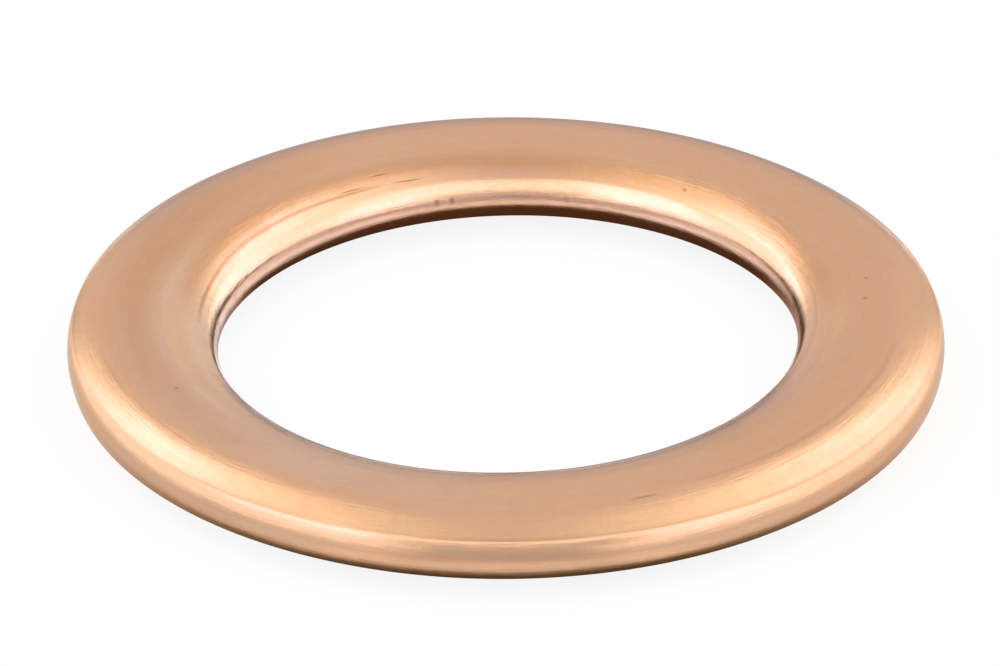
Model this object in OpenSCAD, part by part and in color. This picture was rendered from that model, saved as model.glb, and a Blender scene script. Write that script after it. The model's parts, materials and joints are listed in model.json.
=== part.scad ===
// Drain plug washer: a pressed copper sealing ring that lies under the head of a drain plug.
// The ring is one turned and pressed piece, so its whole form is one section revolved about +Z.
// Its origin is the centre of the lower face, in the middle of the bore.

/* [Ring] */
// Diameter of the bore's straight wall, a free fit over an M14 thread
bore_d = 14.2; // [12:0.1:16]
// Diameter over the outer edge
outer_d = 21.5; // [20:0.1:26]
// Height from the lower face to the upper face
thickness = 2; // [1.4:0.05:3]

/* [Bore side] */
// Height of the bore's straight wall
bore_wall_h = 0.3; // [0.1:0.05:0.6]
// Radius of the lip that bulges into the bore
bore_lip_r = 0.75; // [0.6:0.05:1.5]
// Height between the two creases where the lip meets the shoulders
bore_crease_h = 1.09; // [0.8:0.01:1.3]
// Width of each rounded shoulder, from the bore's crease to the flat land
bore_shoulder_w = 1.6; // [0.6:0.05:2]
// Slope in degrees at which the bore's shoulders leave the flat land
bore_land_slope = 2; // [0.5:0.5:5]

/* [Outer side] */
// Radius of the outer edge's bulge
outer_edge_r = 1.18; // [0.6:0.02:2]
// Height between the two creases where the bulge meets the shoulders
outer_crease_h = 0.85; // [0.4:0.05:1.1]
// Width of each rounded shoulder, from the outer crease to the flat land
outer_shoulder_w = 1.2; // [0.6:0.05:1.8]
// Slope in degrees at which the outer shoulders leave the flat land
outer_land_slope = 5; // [0.5:0.5:6]

/* [Limits] */
// Width of the flat land that the shoulders always leave on each face
land_min_w = 0.2; // [0.05:0.05:0.4]
// Least drop from a face to a crease
drop_min = 0.1; // [0.05:0.05:0.3]

/* [Hidden] */
$fn = 180;

bore_r = bore_d / 2;
outer_r = outer_d / 2;
face_z = thickness / 2;

// How far a round edge's outline lies from its centre, at height z above the middle plane
function half_chord(r, z) = sqrt(r * r - z * z);

// A shoulder's slope where it leaves the land, at most half of its mean slope
function start_slope(w, drop, slope) = min(slope, atan(drop / w) / 2);

// Radius of the arc that leaves the land at that slope and has dropped by drop after width w
function arc_r(w, drop, slope) = (w * w + drop * drop) / (2 * (drop * cos(slope) - w * sin(slope)));

// Heights of the creases above the middle plane
bore_crease_z = min(bore_crease_h / 2, bore_lip_r, face_z - drop_min);
outer_crease_z = min(outer_crease_h / 2, outer_edge_r, face_z - drop_min);

// Centres of the lip and of the outer bulge, from the bore's axis
lip_centre_x = bore_r + half_chord(bore_lip_r, bore_wall_h / 2);
edge_centre_x = outer_r - outer_edge_r;

// Creases, from the bore's axis
bore_crease_x = lip_centre_x - half_chord(bore_lip_r, bore_crease_z);
outer_crease_x = edge_centre_x + half_chord(outer_edge_r, outer_crease_z);

// The shoulders give way together where the face is too narrow for both
face_w = outer_crease_x - bore_crease_x;
give_way = min(1, (face_w - land_min_w) / (bore_shoulder_w + outer_shoulder_w));
land_inner_x = bore_crease_x + give_way * bore_shoulder_w;
land_outer_x = outer_crease_x - give_way * outer_shoulder_w;

// How far two neighbouring outlines run on past the point where they cross
crossing = 0.05;

// Everything that lies farther from the axis than x, or nearer to it
module outside(x) {
    translate([x, -thickness])
        square([outer_d, 2 * thickness]);
}

module inside(x) {
    translate([x - outer_d, -thickness])
        square([outer_d, 2 * thickness]);
}

// A round edge centred on the middle plane
module round_edge(centre_x, r) {
    translate([centre_x, 0])
        circle(r);
}

// The common part of two discs, whose arcs leave the upper and the lower land at edge_x.
// They fall away from the axis where away is 1, and toward it where away is -1.
module shoulders(edge_x, w, drop, slope, away) {
    start = start_slope(w, drop, slope);
    r = arc_r(w, drop, start);
    intersection_for (up = [-1, 1])
        translate([edge_x - away * r * sin(start), up * (face_z - r * cos(start))])
            circle(r);
}

// The ring's section, with its middle plane on the X axis
module section() {
    intersection() {
        // The two pressed faces and the bore's straight wall
        translate([bore_r, -face_z])
            square([outer_d, thickness]);
        union() {
            round_edge(lip_centre_x, bore_lip_r);
            outside(bore_crease_x + crossing);
        }
        union() {
            shoulders(land_inner_x, land_inner_x - bore_crease_x, face_z - bore_crease_z, bore_land_slope, -1);
            outside(land_inner_x + crossing);
        }
        union() {
            shoulders(land_outer_x, outer_crease_x - land_outer_x, face_z - outer_crease_z, outer_land_slope, 1);
            inside(land_outer_x - crossing);
        }
        union() {
            round_edge(edge_centre_x, outer_edge_r);
            inside(outer_crease_x - crossing);
        }
    }
}

module ring() {
    color([0.82, 0.55, 0.38])
        translate([0, 0, face_z])
            rotate_extrude()
                section();
}

ring();
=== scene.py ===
"""The look of a copper drain plug washer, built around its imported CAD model."""

import json
import math
from collections import namedtuple

import bpy
import numpy as np
from mathutils import Matrix, Vector


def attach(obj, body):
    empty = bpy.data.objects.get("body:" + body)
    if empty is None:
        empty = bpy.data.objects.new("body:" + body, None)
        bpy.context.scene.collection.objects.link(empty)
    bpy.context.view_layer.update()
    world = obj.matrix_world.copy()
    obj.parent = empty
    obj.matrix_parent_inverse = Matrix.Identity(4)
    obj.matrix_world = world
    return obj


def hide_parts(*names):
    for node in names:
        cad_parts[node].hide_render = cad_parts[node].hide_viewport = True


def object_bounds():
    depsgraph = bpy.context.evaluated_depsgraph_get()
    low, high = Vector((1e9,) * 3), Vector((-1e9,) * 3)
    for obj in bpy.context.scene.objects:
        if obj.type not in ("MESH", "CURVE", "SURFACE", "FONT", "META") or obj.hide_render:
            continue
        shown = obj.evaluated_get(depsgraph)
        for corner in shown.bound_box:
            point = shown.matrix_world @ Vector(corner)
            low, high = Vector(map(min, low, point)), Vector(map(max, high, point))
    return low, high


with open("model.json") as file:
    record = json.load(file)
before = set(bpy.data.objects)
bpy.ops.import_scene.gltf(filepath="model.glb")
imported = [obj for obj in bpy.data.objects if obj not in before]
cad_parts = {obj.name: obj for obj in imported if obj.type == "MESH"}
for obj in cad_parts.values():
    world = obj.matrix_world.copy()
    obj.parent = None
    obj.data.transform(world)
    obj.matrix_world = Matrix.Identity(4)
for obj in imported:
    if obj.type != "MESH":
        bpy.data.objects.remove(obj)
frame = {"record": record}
CAD_LOW, CAD_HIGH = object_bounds()

MM = 0.001

# Sizes from the frame, in metres
OUTER_R = min(CAD_HIGH.x - CAD_LOW.x, CAD_HIGH.y - CAD_LOW.y) / 2
HALF_H = (CAD_HIGH.z - CAD_LOW.z) / 2
BORE_R = next(m["dims"]["r_mm"] for m in frame["record"]["mounts"] if m["name"] == "bore") * MM

# The section's round edges, shoulders and creases
LIP_R = 0.755 * MM
LIP_CREASE_ANGLE = math.radians(42)
LIP_CREASE_R = 0.32 * MM
BORE_SHOULDER_ANGLE = math.radians(61.7)
BORE_SHOULDER_W = 1.4 * MM
BORE_LAND_SLOPE = math.radians(2)
EDGE_R = 1.184 * MM
EDGE_CREASE_ANGLE = math.radians(25)
EDGE_CREASE_R = 0.06 * MM
OUTER_SHOULDER_ANGLE = math.radians(49)
OUTER_SHOULDER_W = 1.28 * MM
OUTER_LAND_SLOPE = math.radians(4.9)

# The lower side is a little rounder, so that its creases lie nearer to the middle plane
LOWER_LIP_CREASE_ANGLE = math.radians(35)
LOWER_BORE_SHOULDER_W = 1.9 * MM
LOWER_EDGE_CREASE_ANGLE = math.radians(23)
LOWER_OUTER_SHOULDER_W = 1.45 * MM

# The bore is slightly wider than its nominal size and oval, with its long axis from the front left to the
# back right, and a little off centre. All that fades out toward the outer edge.
BORE_WIDER = 0.03 * MM
BORE_OVAL = 0.124 * MM
BORE_OVAL_ANGLE = math.radians(52)
BORE_OFFSET = 0.055 * MM
BORE_OFFSET_ANGLE = math.radians(20)

# Steps round the ring
AROUND = 640

# Points along the section: on the round edge, the crease and the shoulder of each side, and across the land
OUTER_POINTS = (9, 5, 22)
BORE_POINTS = (13, 5, 18)
LAND_POINTS = 5


def arc_points(centre, radius, start, end, count):
    """Points on an arc, with the angle measured up from the outward direction."""
    angles = np.linspace(start, end, count)
    return np.column_stack([centre[0] + radius * np.cos(angles), centre[1] + radius * np.sin(angles)])


def shoulder_radius(width, drop, slope):
    """The radius of an arc that leaves the land at that slope and has dropped by drop after width."""
    return (width**2 + drop**2) / (2 * (drop * math.cos(slope) - width * math.sin(slope)))


def quarter(tip_r, edge_r, edge_angle, crease_r, crease_angle, width, slope, counts):
    """One side's outline from the middle plane up to the land, with r growing outward from the ring."""
    edge = arc_points((tip_r - edge_r, 0), edge_r, 0, edge_angle, counts[0])
    crease_centre = edge[-1] - crease_r * np.array([math.cos(edge_angle), math.sin(edge_angle)])
    crease = arc_points(crease_centre, crease_r, edge_angle, crease_angle, counts[1])
    top = crease[-1]
    radius = shoulder_radius(width, HALF_H - top[1], slope)
    centre = (top[0] - width - radius * math.sin(slope), HALF_H - radius * math.cos(slope))
    start = math.atan2(top[1] - centre[1], top[0] - centre[0])
    shoulder = arc_points(centre, radius, start, math.pi / 2 - slope, counts[2])
    return np.vstack([edge, crease[1:], shoulder[1:]])


def half_outline(edge_angle, outer_w, lip_angle, bore_w):
    """The ring's outline above the middle plane, from the bore over the land to the outer edge."""
    outer = quarter(
        OUTER_R,
        EDGE_R,
        edge_angle,
        EDGE_CREASE_R,
        OUTER_SHOULDER_ANGLE,
        outer_w,
        OUTER_LAND_SLOPE,
        OUTER_POINTS,
    )
    bore = quarter(
        -BORE_R,
        LIP_R,
        lip_angle,
        LIP_CREASE_R,
        BORE_SHOULDER_ANGLE,
        bore_w,
        BORE_LAND_SLOPE,
        BORE_POINTS,
    )
    bore[:, 0] *= -1
    land = np.linspace(bore[-1], outer[-1], LAND_POINTS)[1:-1]
    return np.vstack([bore, land, outer[::-1]])


def section():
    """The closed outline, from the bore's middle over the upper land to the outer edge and back below."""
    top = half_outline(EDGE_CREASE_ANGLE, OUTER_SHOULDER_W, LIP_CREASE_ANGLE, BORE_SHOULDER_W)
    bottom = half_outline(
        LOWER_EDGE_CREASE_ANGLE,
        LOWER_OUTER_SHOULDER_W,
        LOWER_LIP_CREASE_ANGLE,
        LOWER_BORE_SHOULDER_W,
    )
    outline = np.vstack([top, bottom[::-1][1:-1] * (1, -1)])
    outline[:, 1] += HALF_H
    return outline


def revolve(name, outline):
    """A closed ring of quads with smooth shading, and with the bore a little wider, oval and off centre."""
    count = len(outline)
    angles = np.linspace(0, 2 * math.pi, AROUND, endpoint=False)
    pull = np.clip((OUTER_R - outline[:, 0]) / (OUTER_R - BORE_R), 0, 1)
    push = BORE_WIDER + BORE_OVAL * np.cos(2 * (angles - BORE_OVAL_ANGLE))
    push += BORE_OFFSET * np.cos(angles - BORE_OFFSET_ANGLE)
    radii = outline[:, 0] + np.outer(push, pull)
    co = np.empty((AROUND, count, 3))
    co[:, :, 0] = np.cos(angles)[:, None] * radii
    co[:, :, 1] = np.sin(angles)[:, None] * radii
    co[:, :, 2] = outline[:, 1]
    ring, point = np.meshgrid(np.arange(AROUND), np.arange(count), indexing="ij")
    next_ring = (ring + 1) % AROUND
    next_point = (point + 1) % count
    faces = np.stack(
        [
            ring * count + point,
            ring * count + next_point,
            next_ring * count + next_point,
            next_ring * count + point,
        ],
        axis=-1,
    ).reshape(-1, 4)
    mesh = bpy.data.meshes.new(name)
    mesh.from_pydata(co.reshape(-1, 3).tolist(), [], faces.tolist())
    mesh.shade_smooth()
    mesh.update()
    made = bpy.data.objects.new(name, mesh)
    bpy.context.scene.collection.objects.link(made)
    return made


class Graph:
    """Short calls for the nodes of one node tree."""

    def __init__(self, tree):
        self.nodes = tree.nodes
        self.links = tree.links

    def put(self, socket, value):
        if isinstance(value, bpy.types.NodeSocket):
            self.links.new(value, socket)
        else:
            socket.default_value = value

    def axes(self, kind):
        """The x, y and z of a texture coordinate, such as Object or Generated."""
        coordinates = self.nodes.new("ShaderNodeTexCoord")
        split = self.nodes.new("ShaderNodeSeparateXYZ")
        self.links.new(coordinates.outputs[kind], split.inputs[0])
        return split.outputs

    def math(self, operation, *values):
        node = self.nodes.new("ShaderNodeMath")
        node.operation = operation
        for socket, value in zip(node.inputs, values):
            self.put(socket, value)
        return node.outputs[0]

    def add(self, *values):
        total = values[0]
        for value in values[1:]:
            total = self.math("ADD", total, value)
        return total

    def times(self, *values):
        total = values[0]
        for value in values[1:]:
            total = self.math("MULTIPLY", total, value)
        return total

    def from_axis(self, x, y):
        """The distance from the z axis."""
        return self.math("SQRT", self.add(self.times(x, x), self.times(y, y)))

    def between(self, share, start, end):
        """From start where the share is 0 to end where it is 1."""
        if isinstance(start, bpy.types.NodeSocket) or isinstance(end, bpy.types.NodeSocket):
            change = self.math("SUBTRACT", end, start)
        else:
            change = end - start
        return self.math("MULTIPLY_ADD", share, change, start)

    def step(self, value, none, full):
        """A smooth step from 0 where the value is none to 1 where it is full."""
        node = self.nodes.new("ShaderNodeMapRange")
        node.interpolation_type = "SMOOTHSTEP"
        self.put(node.inputs["Value"], value)
        self.put(node.inputs["From Min"], none)
        self.put(node.inputs["From Max"], full)
        return node.outputs["Result"]

    def bump(self, value, middle, half):
        """1 at the middle, falling smoothly to 0 at half away from it."""
        away = self.math("ABSOLUTE", self.math("SUBTRACT", value, middle))
        return self.step(away, half, 0)

    def blend(self, share, start, end):
        """From the start colour to the end colour."""
        node = self.nodes.new("ShaderNodeMix")
        node.data_type = "RGBA"
        colours = [socket for socket in node.inputs if socket.type == "RGBA"]
        self.put(node.inputs[0], share)
        self.put(colours[0], start)
        self.put(colours[1], end)
        return next(socket for socket in node.outputs if socket.type == "RGBA")

    def noise(self, vector, seed, detail, none, full):
        """Noise at scale 1 in a space of four directions, stretched to run from 0 at none to 1 at full."""
        node = self.nodes.new("ShaderNodeTexNoise")
        node.noise_dimensions = "4D"
        combine = self.nodes.new("ShaderNodeCombineXYZ")
        for socket, value in zip(combine.inputs, vector):
            self.put(socket, value)
        self.links.new(combine.outputs[0], node.inputs["Vector"])
        self.put(node.inputs["W"], seed)
        node.inputs["Scale"].default_value = 1
        node.inputs["Detail"].default_value = detail
        return self.step(node.outputs["Fac"], none, full)

    def light(self, kind, colour, strength):
        """A node that gives light, such as an emission or a background."""
        node = self.nodes.new(kind)
        self.put(node.inputs["Color"], colour)
        self.put(node.inputs["Strength"], strength)
        return node.outputs[0]

    def mix(self, share, first, second):
        """From the first shader to the second."""
        node = self.nodes.new("ShaderNodeMixShader")
        for socket, value in zip(node.inputs, (share, first, second)):
            self.put(socket, value)
        return node.outputs[0]


class RingGraph(Graph):
    """A graph that knows its place on the ring, in mm, with height 0 in the middle plane."""

    def __init__(self, tree):
        super().__init__(tree)
        self.x, self.y, self.z = [self.times(value, 1 / MM) for value in self.axes("Object")]
        self.height = self.add(self.z, -HALF_H / MM)
        self.radius = self.from_axis(self.x, self.y)
        self.cos_a = self.math("DIVIDE", self.x, self.radius)
        self.sin_a = self.math("DIVIDE", self.y, self.radius)

    def round_noise(self, along, across, seed, detail, none, full):
        """Noise drawn out round the ring."""
        vector = (
            self.times(self.cos_a, along),
            self.times(self.sin_a, along),
            self.times(self.radius, across),
        )
        return self.noise(vector, self.add(self.times(self.height, across), seed), detail, none, full)

    def patch_noise(self, scale, seed, detail, none, full):
        """Noise that is as long as it is wide."""
        vector = [self.times(value, scale) for value in (self.x, self.y, self.z)]
        return self.noise(vector, seed, detail, none, full)

    def facing(self, degrees, none, full):
        """A step on how far the place faces that angle, which is 1 at the angle and 0 across from it."""
        angle = math.radians(degrees)
        turned = self.add(self.times(self.cos_a, math.cos(angle)), self.times(self.sin_a, math.sin(angle)))
        return self.step(self.math("MULTIPLY_ADD", turned, 0.5, 0.5), none, full)

    def spot(self, radius_at, degrees, half_across, half_along):
        """A soft spot on the upper side, which has half faded at its half sizes."""
        angle = math.radians(degrees)
        out = self.add(self.times(self.x, math.cos(angle)), self.times(self.y, math.sin(angle)), -radius_at)
        along = self.add(self.times(self.y, math.cos(angle)), self.times(self.x, -math.sin(angle)))
        across_spot = self.bump(out, 0, half_across * 2)
        along_spot = self.bump(along, 0, half_along * 2)
        return self.times(across_spot, along_spot, self.math("GREATER_THAN", self.height, 0))


# Colours of the copper where it is clean, dulled, browned by heat, lighter in the bore as painted light,
# darker on the outer wall as painted shade, pale with handling, lighter on the bore's shoulder in front of the
# hole as a painted reflection, darker at the hole's front edge as a painted reflection, and in its fine dark
# lines and the painted shade along the outer crease
CLEAN = (0.935, 0.545, 0.338, 1)
DULL = (0.9, 0.6, 0.44, 1)
BROWNED = (0.8, 0.41, 0.215, 1)
# Painted light: a lighter copper for the bore
BORE_PAINTED_LIGHT = (0.975, 0.58, 0.395, 1)
# Painted shade: a darker copper for the outer wall
OUTER_WALL_PAINTED_SHADE = (0.79, 0.485, 0.312, 1)
PALE = (1, 0.69, 0.49, 1)
# Painted reflection: a lighter copper for the bore's shoulder in front of the hole
FRONT_SHOULDER_PAINTED_LIGHT = (1, 0.61, 0.36, 1)
# Painted reflection: a darker copper for the hole's front edge
HOLE_EDGE_PAINTED_REFLECTION = (0.6, 0.36, 0.245, 1)
# Also the colour of the painted shade along the outer crease
LINE = (0.55, 0.25, 0.12, 1)

# How much of a colour shows where it is strongest
DULL_SHARE = 0.8
MOTTLED_SHARE = 0.1
FRONT_SHOULDER_LIGHT_SHARE = 0.8
HOLE_EDGE_REFLECTION_SHARE = 0.75
BROWN_LEFT_SHARE = 0.5
BROWN_RIGHT_SHARE = 0.15
BROWN_BORE_SHARE = 0.7
BROWN_STREAKS_SHARE = 0.12
BROWN_PATCHES_SHARE = 0.2
SPECKLE_SHARE = 0.11
BORE_LINE_RIGHT_SHARE = 0.35
EDGE_LINE_SHARE = 0.35
CREASE_SHADE_SHARE = 0.5
MARKS_SHARE = 0.75

# The tint of what the copper mirrors where it is seen very flat, which makes it a little less pale there
GRAZING_TINT = (1, 0.89, 0.8, 1)

# The roughness of the smoothest copper, and what the streaks, the mottle and the brushing add to it
SMOOTHEST = 0.15
STREAKS_ROUGH = 0.05
MOTTLE_ROUGH = 0.05
BRUSHING_ROUGH = 0.03

# The relief of the streaks, the brushing and the mottle, and the depth of the marks, in mm
STREAKS_RELIEF = 0.002
BRUSHING_RELIEF = 0.0011
MOTTLE_RELIEF = 0.0021
MARKS_DEPTH = 0.006

# How far the lines wander, in mm: the bore's in height and the edge's in distance from the axis
BORE_LINE_WANDER = 0.05
EDGE_LINE_WANDER = 0.04

# Where the bore's side of the ring ends and where its outer side starts, as distances from the axis in mm
BORE_SIDE_TO = 8.4
OUTER_SIDE_FROM = 9.8

# Small dark marks on the upper side: distance from the axis in mm and angle from +X in degrees, then their
# half sizes in mm along the radius and round the ring
Mark = namedtuple("Mark", "radius_at degrees half_across half_along")
MARKS = (
    Mark(8.9, -153.5, 0.05, 0.05),
    Mark(7.84, 55, 0.035, 0.06),
    Mark(9.77, -70.5, 0.03, 0.24),
    Mark(7.81, 114, 0.02, 0.18),
    Mark(7.51, 109, 0.02, 0.3),
    Mark(7.56, 120.5, 0.02, 0.25),
    Mark(8.81, 2, 0.05, 0.05),
    Mark(8.95, 8.5, 0.03, 0.04),
)

# Small dark dots on the wall of the bore: angle from +X in degrees, then in mm how far past the bore's radius
# they lie, their half sizes, their height over the middle plane and how far above and below it they fade
BORE_DOTS = (103.9, 100.8, 77.7)
DOT_PAST_BORE = 0.02
DOT_HALF_ACROSS = 0.1
DOT_HALF_ALONG = 0.05
DOT_HEIGHT = 0.12
DOT_FADE = 0.12


def face_share(graph):
    """The faces, fading out on the shoulders."""
    not_edge = graph.step(graph.radius, none=9.9, full=9.3)
    not_bore = graph.step(graph.radius, none=7.6, full=8.1)
    return graph.times(not_edge, not_bore)


def outer_wall_shade_share(graph):
    """Painted shade on the outer wall, from lower down at the left and right than elsewhere, and weaker on the
    right.
    """
    foot = graph.times(graph.step(graph.math("ABSOLUTE", graph.cos_a), none=0.2, full=0.5), -0.4)
    over_foot = graph.step(graph.math("SUBTRACT", graph.height, foot), none=0.05, full=0.3)
    on_wall = graph.step(graph.radius, none=10, full=10.4)
    under_face = graph.step(graph.height, none=0.7, full=0.45)
    less_right = graph.between(graph.facing(-20, none=0.75, full=0.97), 1, 0.4)
    return graph.times(over_foot, on_wall, under_face, less_right)


def dull_share(graph, face, mottle):
    """A patch at the front left, and a trace of mottle all over the faces."""
    patch = graph.times(graph.facing(-138, none=0.78, full=1), DULL_SHARE)
    return graph.times(graph.add(patch, graph.times(mottle, MOTTLED_SHARE)), face)


def pale_share(graph):
    """The left side of the hole."""
    return graph.times(graph.facing(-163, none=0.84, full=0.99), graph.step(graph.radius, none=8.9, full=8.2))


def front_shoulder_light_share(graph):
    """A painted reflection on the bore's shoulder in front of the hole and beside it, lighter than the copper
    round it.
    """
    shoulder = graph.bump(graph.radius, middle=8.1, half=0.4)
    return graph.times(shoulder, graph.step(graph.sin_a, none=0.25, full=-0.1), FRONT_SHOULDER_LIGHT_SHARE)


def hole_edge_reflection_share(graph):
    """A painted dark reflection at the edge of the hole in front, where the far wall of the bore and its shade
    would be mirrored.
    """
    edge = graph.bump(graph.radius, middle=7.6, half=0.33)
    return graph.times(edge, graph.step(graph.sin_a, none=-0.45, full=-0.8), HOLE_EDGE_REFLECTION_SHARE)


def browned_share(graph, face, streaks, mottle, patches):
    """The left face, a little of the right one, the bore's shoulder behind the hole, streaks and patches."""
    on_face = graph.bump(graph.radius, middle=9.1, half=1)
    left = graph.times(graph.facing(176, none=0.7, full=1), on_face, BROWN_LEFT_SHARE)
    right = graph.times(graph.facing(0, none=0.6, full=1), face, BROWN_RIGHT_SHARE)
    shoulder = graph.bump(graph.radius, middle=7.85, half=0.5)
    behind = graph.times(shoulder, graph.step(graph.sin_a, none=-0.1, full=0.25), BROWN_BORE_SHARE)
    in_streaks = graph.times(streaks, BROWN_STREAKS_SHARE)
    in_patches = graph.times(mottle, patches, BROWN_PATCHES_SHARE)
    return graph.add(left, right, behind, in_streaks, in_patches)


def bore_line(graph, wander):
    """A line high on the bore's shoulder, at its left and fainter at its right."""
    line = graph.bump(graph.add(graph.height, graph.times(wander, BORE_LINE_WANDER)), middle=0.7, half=0.045)
    in_bore = graph.math("LESS_THAN", graph.radius, BORE_SIDE_TO)
    left = graph.facing(147.5, none=0.905, full=0.95)
    right = graph.times(graph.facing(20, none=0.85, full=1), BORE_LINE_RIGHT_SHARE)
    return graph.times(line, in_bore, graph.math("MAXIMUM", left, right))


def edge_line(graph, wander):
    """A line on the outer shoulder at the front left and front right, nearer to the axis on the right."""
    line_at = graph.between(graph.step(graph.cos_a, none=-0.35, full=0.45), 9.97, 9.61)
    wandering = graph.math("MULTIPLY_ADD", wander, EDGE_LINE_WANDER, line_at)
    line = graph.bump(graph.math("SUBTRACT", graph.radius, wandering), middle=0, half=0.11)
    beside = graph.step(graph.math("ABSOLUTE", graph.cos_a), none=0.35, full=0.65)
    ends = graph.times(beside, graph.step(graph.sin_a, none=-0.1, full=-0.35))
    return graph.times(line, graph.math("GREATER_THAN", graph.height, 0), ends)


def crease_painted_shade(graph):
    """Painted shade along the outer crease of the upper side, which damps the crease's highlight."""
    line = graph.bump(graph.height, middle=0.53, half=0.06)
    on_edge = graph.math("GREATER_THAN", graph.radius, OUTER_SIDE_FROM)
    return graph.times(line, on_edge, CREASE_SHADE_SHARE)


def lines_and_crease_shade(graph):
    """Two fine dark lines and the painted shade along the outer crease, which fade and come back round the
    ring.
    """
    wander = graph.round_noise(along=1.6, across=0, seed=3.3, detail=1, none=0.2, full=0.8)
    fade = graph.round_noise(along=2.2, across=0.5, seed=9.2, detail=2, none=0.2, full=0.55)
    edge = graph.times(edge_line(graph, wander), EDGE_LINE_SHARE)
    lines = graph.math("MAXIMUM", bore_line(graph, wander), edge)
    return graph.times(graph.math("MAXIMUM", lines, crease_painted_shade(graph)), graph.between(fade, 0.3, 1))


def with_marks(graph, lines):
    """The lines and the painted crease shade together with the small marks and dots."""
    marks = lines
    for mark in MARKS:
        marks = graph.math("MAXIMUM", marks, graph.spot(*mark))
    for degrees in BORE_DOTS:
        dot = graph.spot(BORE_R / MM + DOT_PAST_BORE, degrees, DOT_HALF_ACROSS, DOT_HALF_ALONG)
        low_down = graph.bump(graph.height, middle=DOT_HEIGHT, half=DOT_FADE)
        marks = graph.math("MAXIMUM", marks, graph.times(dot, low_down))
    return marks


def copper():
    """Satin pressed copper with turning streaks, tarnish, fine dark lines and a few small marks, and with
    painted light in the bore, painted shade on the outer wall and along the outer crease, and painted
    reflections at the front of the hole.
    """
    made = bpy.data.materials.new("pressed_copper")
    made.use_nodes = True
    tree = made.node_tree
    shader = tree.nodes["Principled BSDF"]
    shader.inputs["Metallic"].default_value = 1
    shader.inputs["Specular Tint"].default_value = GRAZING_TINT

    graph = RingGraph(tree)
    streaks = graph.round_noise(along=3.2, across=5, seed=1.7, detail=3, none=0.3, full=0.7)
    brushing = graph.round_noise(along=16, across=17, seed=4.1, detail=2, none=0.3, full=0.7)
    patches = graph.patch_noise(scale=0.3, seed=2.3, detail=3, none=0.42, full=0.66)
    mottle = graph.patch_noise(scale=1.7, seed=6.1, detail=4, none=0.35, full=0.65)
    grain = graph.patch_noise(scale=9, seed=8.4, detail=2, none=0.3, full=0.7)

    face = face_share(graph)
    # The lines hold the two fine dark lines and the painted shade along the outer crease
    lines = lines_and_crease_shade(graph)
    marks = with_marks(graph, lines)
    speckle = graph.add(graph.times(brushing, 0.5), graph.times(grain, 0.5))
    # Painted light: the copper in the bore is lighter than elsewhere
    colour = graph.blend(graph.step(graph.radius, none=8.2, full=7.6), CLEAN, BORE_PAINTED_LIGHT)
    # Painted shade: the outer wall is darker
    colour = graph.blend(outer_wall_shade_share(graph), colour, OUTER_WALL_PAINTED_SHADE)
    colour = graph.blend(dull_share(graph, face, mottle), colour, DULL)
    colour = graph.blend(pale_share(graph), colour, PALE)
    # Painted reflection: lighter on the bore's shoulder in front of the hole
    colour = graph.blend(front_shoulder_light_share(graph), colour, FRONT_SHOULDER_PAINTED_LIGHT)
    # Painted reflection: darker at the hole's front edge
    colour = graph.blend(hole_edge_reflection_share(graph), colour, HOLE_EDGE_PAINTED_REFLECTION)
    colour = graph.blend(browned_share(graph, face, streaks, mottle, patches), colour, BROWNED)
    colour = graph.blend(graph.times(speckle, SPECKLE_SHARE), colour, LINE)
    # The painted shade along the outer crease comes in here with the marks and lines
    colour = graph.blend(graph.times(marks, MARKS_SHARE), colour, LINE)
    graph.put(shader.inputs["Base Color"], colour)

    rough = graph.add(
        graph.times(streaks, STREAKS_ROUGH),
        graph.times(mottle, MOTTLE_ROUGH),
        graph.times(brushing, BRUSHING_ROUGH),
        SMOOTHEST,
    )
    graph.put(shader.inputs["Roughness"], rough)

    relief = graph.add(
        graph.times(streaks, STREAKS_RELIEF),
        graph.times(brushing, BRUSHING_RELIEF),
        graph.times(mottle, MOTTLE_RELIEF),
        graph.times(graph.math("SUBTRACT", marks, lines), -MARKS_DEPTH),
    )
    bumps = tree.nodes.new("ShaderNodeBump")
    bumps.inputs["Strength"].default_value = 1
    bumps.inputs["Distance"].default_value = MM
    graph.put(bumps.inputs["Height"], relief)
    graph.put(shader.inputs["Normal"], bumps.outputs[0])
    return made


# The room's light level, where 1 is white
ROOM = 0.71

# What stands in the room, seen from the ring: the azimuth of its middle, where 0 is straight behind the ring
# and 90 is to the right, half its width, the softness of its sides, its lower edge and the softness of that,
# its upper edge and the softness of that, all in degrees, and how much it adds to the level
Stand = namedtuple("Stand", "azimuth half_width soft_side low soft_low high soft_high gain")
STUDIO = {
    "left_box": Stand(-94, 60, 18, -2, 8, 72, 34, 0.6),
    "left_box_low": Stand(-93, 56, 20, 0, 8, 30, 26, 0.14),
    "left_box_front": Stand(-126, 22, 16, 6, 12, 62, 20, 0.4),
    "left_box_core": Stand(-56, 17, 14, 28, 16, 51, 16, 0.52),
    "left_box_back": Stand(-46, 8, 12, -4, 8, 24, 16, 0.3),
    "right_box": Stand(91, 58, 18, -2, 8, 72, 34, 0.6),
    "right_box_low": Stand(91, 56, 20, 0, 8, 30, 26, 0.12),
    "right_box_front": Stand(128, 16, 14, 1, 10, 56, 16, 0.2),
    "right_box_back": Stand(56, 22, 14, 0, 8, 54, 14, 0.2),
    "right_box_edge": Stand(34, 10, 14, 30, 16, 56, 14, 0.26),
    "front_fill": Stand(177, 29, 20, 14, 14, 60, 40, 0.68),
    "back_shade": Stand(-2, 11, 16, -6, 6, 16, 16, -0.1),
    "right_shade": Stand(34, 8, 12, -6, 6, 24, 14, -0.08),
}

# The tints of the room's light where it is plain, bright, brightest and dimmest
PLAIN_TINT = (1, 1.01, 1.03, 1)
WARM_TINT = (1, 1, 0.88, 1)
BRIGHT_TINT = (1, 1.03, 1.2, 1)
DIM_TINT = (0.94, 1, 1.2, 1)

WHITE = (1, 1, 1, 1)


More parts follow.
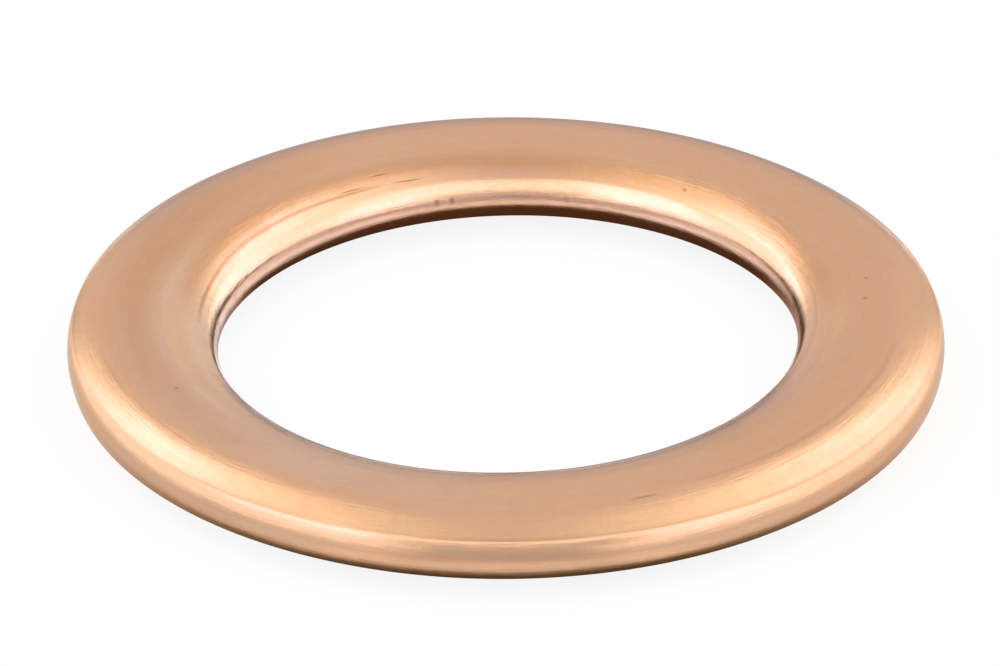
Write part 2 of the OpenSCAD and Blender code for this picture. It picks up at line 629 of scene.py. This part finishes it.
def stand_share(graph, stand, x, y, across, elevation):
    """Where one thing in the room is seen; x and y are the way looked along, and across is their length."""
    azimuth = math.radians(stand.azimuth)
    toward = graph.math("MULTIPLY_ADD", y, math.cos(azimuth), graph.times(x, math.sin(azimuth)))
    turn = graph.math("ARCCOSINE", graph.math("DIVIDE", toward, across))
    away = graph.times(turn, math.degrees(1))
    side_soft = stand.soft_side / 2
    low_soft = stand.soft_low / 2
    high_soft = stand.soft_high / 2
    side = graph.step(away, none=stand.half_width + side_soft, full=stand.half_width - side_soft)
    low = graph.step(elevation, none=stand.low - low_soft, full=stand.low + low_soft)
    high = graph.step(elevation, none=stand.high + high_soft, full=stand.high - high_soft)
    return graph.times(side, low, high)


def studio_world():
    """A pale room with soft boxes on both sides and a fill in front, and plain white for the camera."""
    world = bpy.data.worlds.new("studio")
    world.use_nodes = True
    bpy.context.scene.world = world
    tree = world.node_tree
    graph = Graph(tree)
    x, y, z = graph.axes("Generated")
    elevation = graph.times(graph.math("ARCSINE", z), math.degrees(1))
    across = graph.math("SQRT", graph.math("SUBTRACT", 1, graph.times(z, z)))
    level = ROOM
    for stand in STUDIO.values():
        share = stand_share(graph, stand, x, y, across, elevation)
        level = graph.math("MULTIPLY_ADD", share, stand.gain, level)
    tint = graph.blend(graph.step(level, none=ROOM, full=ROOM + 0.25), PLAIN_TINT, WARM_TINT)
    tint = graph.blend(graph.step(level, none=1.2, full=1.7), tint, BRIGHT_TINT)
    tint = graph.blend(graph.step(level, none=ROOM, full=ROOM - 0.12), tint, DIM_TINT)
    background = tree.nodes["Background"]
    graph.put(background.inputs["Color"], tint)
    graph.put(background.inputs["Strength"], level)
    white = graph.light("ShaderNodeBackground", WHITE, 1)
    camera_ray = tree.nodes.new("ShaderNodeLightPath").outputs["Is Camera Ray"]
    seen = graph.mix(camera_ray, background.outputs[0], white)
    graph.put(tree.nodes["World Output"].inputs["Surface"], seen)


# The table that the copper mirrors. Its light level is that of the open table, plus the glow that the
# ring's wall throws on it, less the shade at the ring's foot. Distances are in mm outward from the ring's
# outer edge, or inward from the bore's edge. Side runs from 0 in front of the axis and behind it to 1
# beside it.
FRONT_TABLE = 0.56
BESIDE_TABLE = 0.74
BACK_TABLE = 0.5
BORE_TABLE = 0.46
BORE_BESIDE_TABLE = 0.6
BORE_SHADE = 0.07
BORE_BESIDE_SHADE = 0.37

# What the table in the bore gains at its left and right, far from the edge, and what it loses in its front
# half, all over and once more near the edge
BORE_FAR_GAIN = 0.3
BORE_FRONT_LOSS = 0.14
BORE_FRONT_EDGE_LOSS = 0.2

# The colour of the light in the shade, which the copper has thrown back, outside the ring and in the bore
SHADE_TINT = (1, 0.85, 0.55, 1)
BORE_SHADE_TINT = (1, 0.55, 0.3, 1)

# The tint of the table at the left and right in the bore, and of the table behind the ring
COOL_TINT = (0.88, 1, 1.2, 1)

# How much of the floor's own shading the camera sees; the rest is plain white
SHADOW_SHARE = 0.12

# The floor's half size and how far it lies under the ring, in metres, and its colour
FLOOR_HALF = 2
FLOOR_GAP = 0.02 * MM
FLOOR_COLOUR = (0.95, 0.95, 0.95, 1)


def table_outside(graph, distance, side, back):
    """The table's light level outside the ring; back is 1 behind it."""
    beside = graph.step(side, none=0.2, full=0.42)
    open_level = graph.between(beside, FRONT_TABLE, BESIDE_TABLE)
    glow = graph.times(graph.bump(distance, middle=1.2, half=1.4), graph.between(side, 0.3, 0.05))
    far_from = graph.between(graph.step(side, none=0.7, full=0.95), 8.5, 5.5)
    far = graph.times(graph.step(distance, none=1.2, full=far_from), graph.between(beside, 0.08, 0.68))
    level = graph.between(back, graph.add(open_level, glow, far), BACK_TABLE)
    shade = graph.between(graph.times(side, side, side, side), 0.09, 0.79)
    lit = graph.step(distance, none=0.15, full=0.72)
    return graph.between(lit, shade, level)


def table_inside(graph, distance, side, front):
    """The table's light level in the bore; front is 1 in its front half, which the back wall mirrors."""
    scaled = graph.math("DIVIDE", distance, graph.between(side, 1, 0.28))
    glow_at = graph.between(side, 1.7, 2.25)
    glow_half = graph.between(side, 1.8, 1.63)
    away = graph.math("ABSOLUTE", graph.math("SUBTRACT", scaled, glow_at))
    glow = graph.times(graph.step(away, none=glow_half, full=0), graph.between(side, 0.42, 0.75))
    glow = graph.times(glow, graph.math("SUBTRACT", 1, front))
    open_level = graph.between(side, BORE_TABLE, BORE_BESIDE_TABLE)
    far = graph.times(graph.step(distance, none=2.2, full=4.5), side, BORE_FAR_GAIN)
    in_front = graph.times(front, -BORE_FRONT_LOSS)
    near_edge = graph.step(distance, none=5, full=3.5)
    near_in_front = graph.times(front, near_edge, -BORE_FRONT_EDGE_LOSS)
    level = graph.add(open_level, glow, far, in_front, near_in_front)
    lit_at = graph.between(side, 1.3, 1.8)
    lit = graph.math("MAXIMUM", graph.step(scaled, none=0.6, full=lit_at), front)
    far_beside = graph.step(side, none=0.78, full=0.96)
    shade = graph.between(far_beside, BORE_SHADE, BORE_BESIDE_SHADE)
    return graph.between(lit, shade, level)


def mirrored_table(graph):
    """The table as the copper mirrors it, with the ring's own shade and glow."""
    x, y, _ = graph.axes("Object")
    radius = graph.from_axis(x, y)
    side = graph.math("ABSOLUTE", graph.math("DIVIDE", x, radius))
    toward_back = graph.math("DIVIDE", y, radius)
    past_edge = graph.times(graph.add(radius, -OUTER_R), 1 / MM)
    past_bore = graph.times(graph.math("SUBTRACT", BORE_R, radius), 1 / MM)
    near_back = graph.times(
        graph.step(toward_back, none=0.25, full=0.5),
        graph.step(past_edge, none=7, full=4),
    )
    back = graph.math("MAXIMUM", near_back, graph.step(toward_back, none=0.72, full=0.88))
    front = graph.step(toward_back, none=0.2, full=-0.4)
    is_outside = graph.math("GREATER_THAN", radius, (BORE_R + OUTER_R) / 2)
    is_inside = graph.math("SUBTRACT", 1, is_outside)
    level = graph.add(
        graph.times(table_inside(graph, past_bore, side, front), is_inside),
        graph.times(table_outside(graph, past_edge, side, back), is_outside),
    )
    cool = graph.math("MAXIMUM", graph.times(side, is_inside), graph.times(back, is_outside))
    tint = graph.blend(cool, WHITE, COOL_TINT)
    shade_tint = graph.blend(is_outside, BORE_SHADE_TINT, SHADE_TINT)
    tint = graph.blend(graph.step(level, none=0.06, full=0.6), shade_tint, tint)
    return graph.light("ShaderNodeEmission", tint, level)


def floor_paint():
    """A nearly white floor for the camera, and the mirrored table for the copper."""
    paint = bpy.data.materials.new("floor_paint")
    paint.use_nodes = True
    tree = paint.node_tree
    graph = Graph(tree)
    shader = tree.nodes["Principled BSDF"]
    shader.inputs["Base Color"].default_value = FLOOR_COLOUR
    shader.inputs["Roughness"].default_value = 1
    shader.inputs["Specular IOR Level"].default_value = 0
    light_path = tree.nodes.new("ShaderNodeLightPath")
    white = graph.light("ShaderNodeEmission", WHITE, 1)
    white_share = graph.times(light_path.outputs["Is Camera Ray"], 1 - SHADOW_SHARE)
    seen = graph.mix(white_share, shader.outputs[0], white)
    surface = graph.mix(light_path.outputs["Is Glossy Ray"], seen, mirrored_table(graph))
    graph.put(tree.nodes["Material Output"].inputs["Surface"], surface)
    return paint


def pale_floor():
    """A plain pale floor under the ring."""
    mesh = bpy.data.meshes.new("floor")
    corners = [(x * FLOOR_HALF, y * FLOOR_HALF, 0) for x, y in ((-1, -1), (1, -1), (1, 1), (-1, 1))]
    mesh.from_pydata(corners, [], [(0, 1, 2, 3)])
    made = bpy.data.objects.new("floor", mesh)
    made.location.z = CAD_LOW.z - FLOOR_GAP
    bpy.context.scene.collection.objects.link(made)
    mesh.materials.append(floor_paint())


# The camera as the photo was taken: the photo's size, degrees above the face, distance in outer radii, pixels
# for one outer radius, where the ring's centre lies in the picture, the tilt of the picture in radians, and
# the sensor's width in mm
PHOTO_W = 1000
PHOTO_H = 666
CAMERA_ELEVATION = math.radians(29.28)
CAMERA_DISTANCE = 27.25 * OUTER_R
RADIUS_PX = 438.46
CENTRE_PX = (505.88, 341.95)
TILT = 0.0056
SENSOR = 36


def photo_camera():
    """A long lens that looks down on the ring from the front."""
    data = bpy.data.cameras.new("camera")
    data.sensor_width = SENSOR
    data.lens = RADIUS_PX / PHOTO_W * SENSOR * CAMERA_DISTANCE / OUTER_R
    data.shift_x = (PHOTO_W / 2 - CENTRE_PX[0]) / PHOTO_W
    data.shift_y = (CENTRE_PX[1] - PHOTO_H / 2) / PHOTO_W
    data.clip_start = 0.01
    data.clip_end = 10
    made = bpy.data.objects.new("camera", data)
    bpy.context.scene.collection.objects.link(made)
    back = Vector((0, -math.cos(CAMERA_ELEVATION), math.sin(CAMERA_ELEVATION)))
    centre = Vector((0, 0, CAD_LOW.z + HALF_H))
    turn = Matrix.Rotation(math.pi / 2 - CAMERA_ELEVATION, 4, "X") @ Matrix.Rotation(-TILT, 4, "Z")
    made.matrix_world = Matrix.Translation(centre + back * CAMERA_DISTANCE) @ turn
    bpy.context.scene.camera = made


ring = revolve("ring_skin", section())
ring.data.materials.append(copper())
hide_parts("ring")
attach(ring, "root")
ring.visible_glossy = False

pale_floor()
studio_world()
photo_camera()
bpy.context.scene.view_settings.view_transform = "Standard"
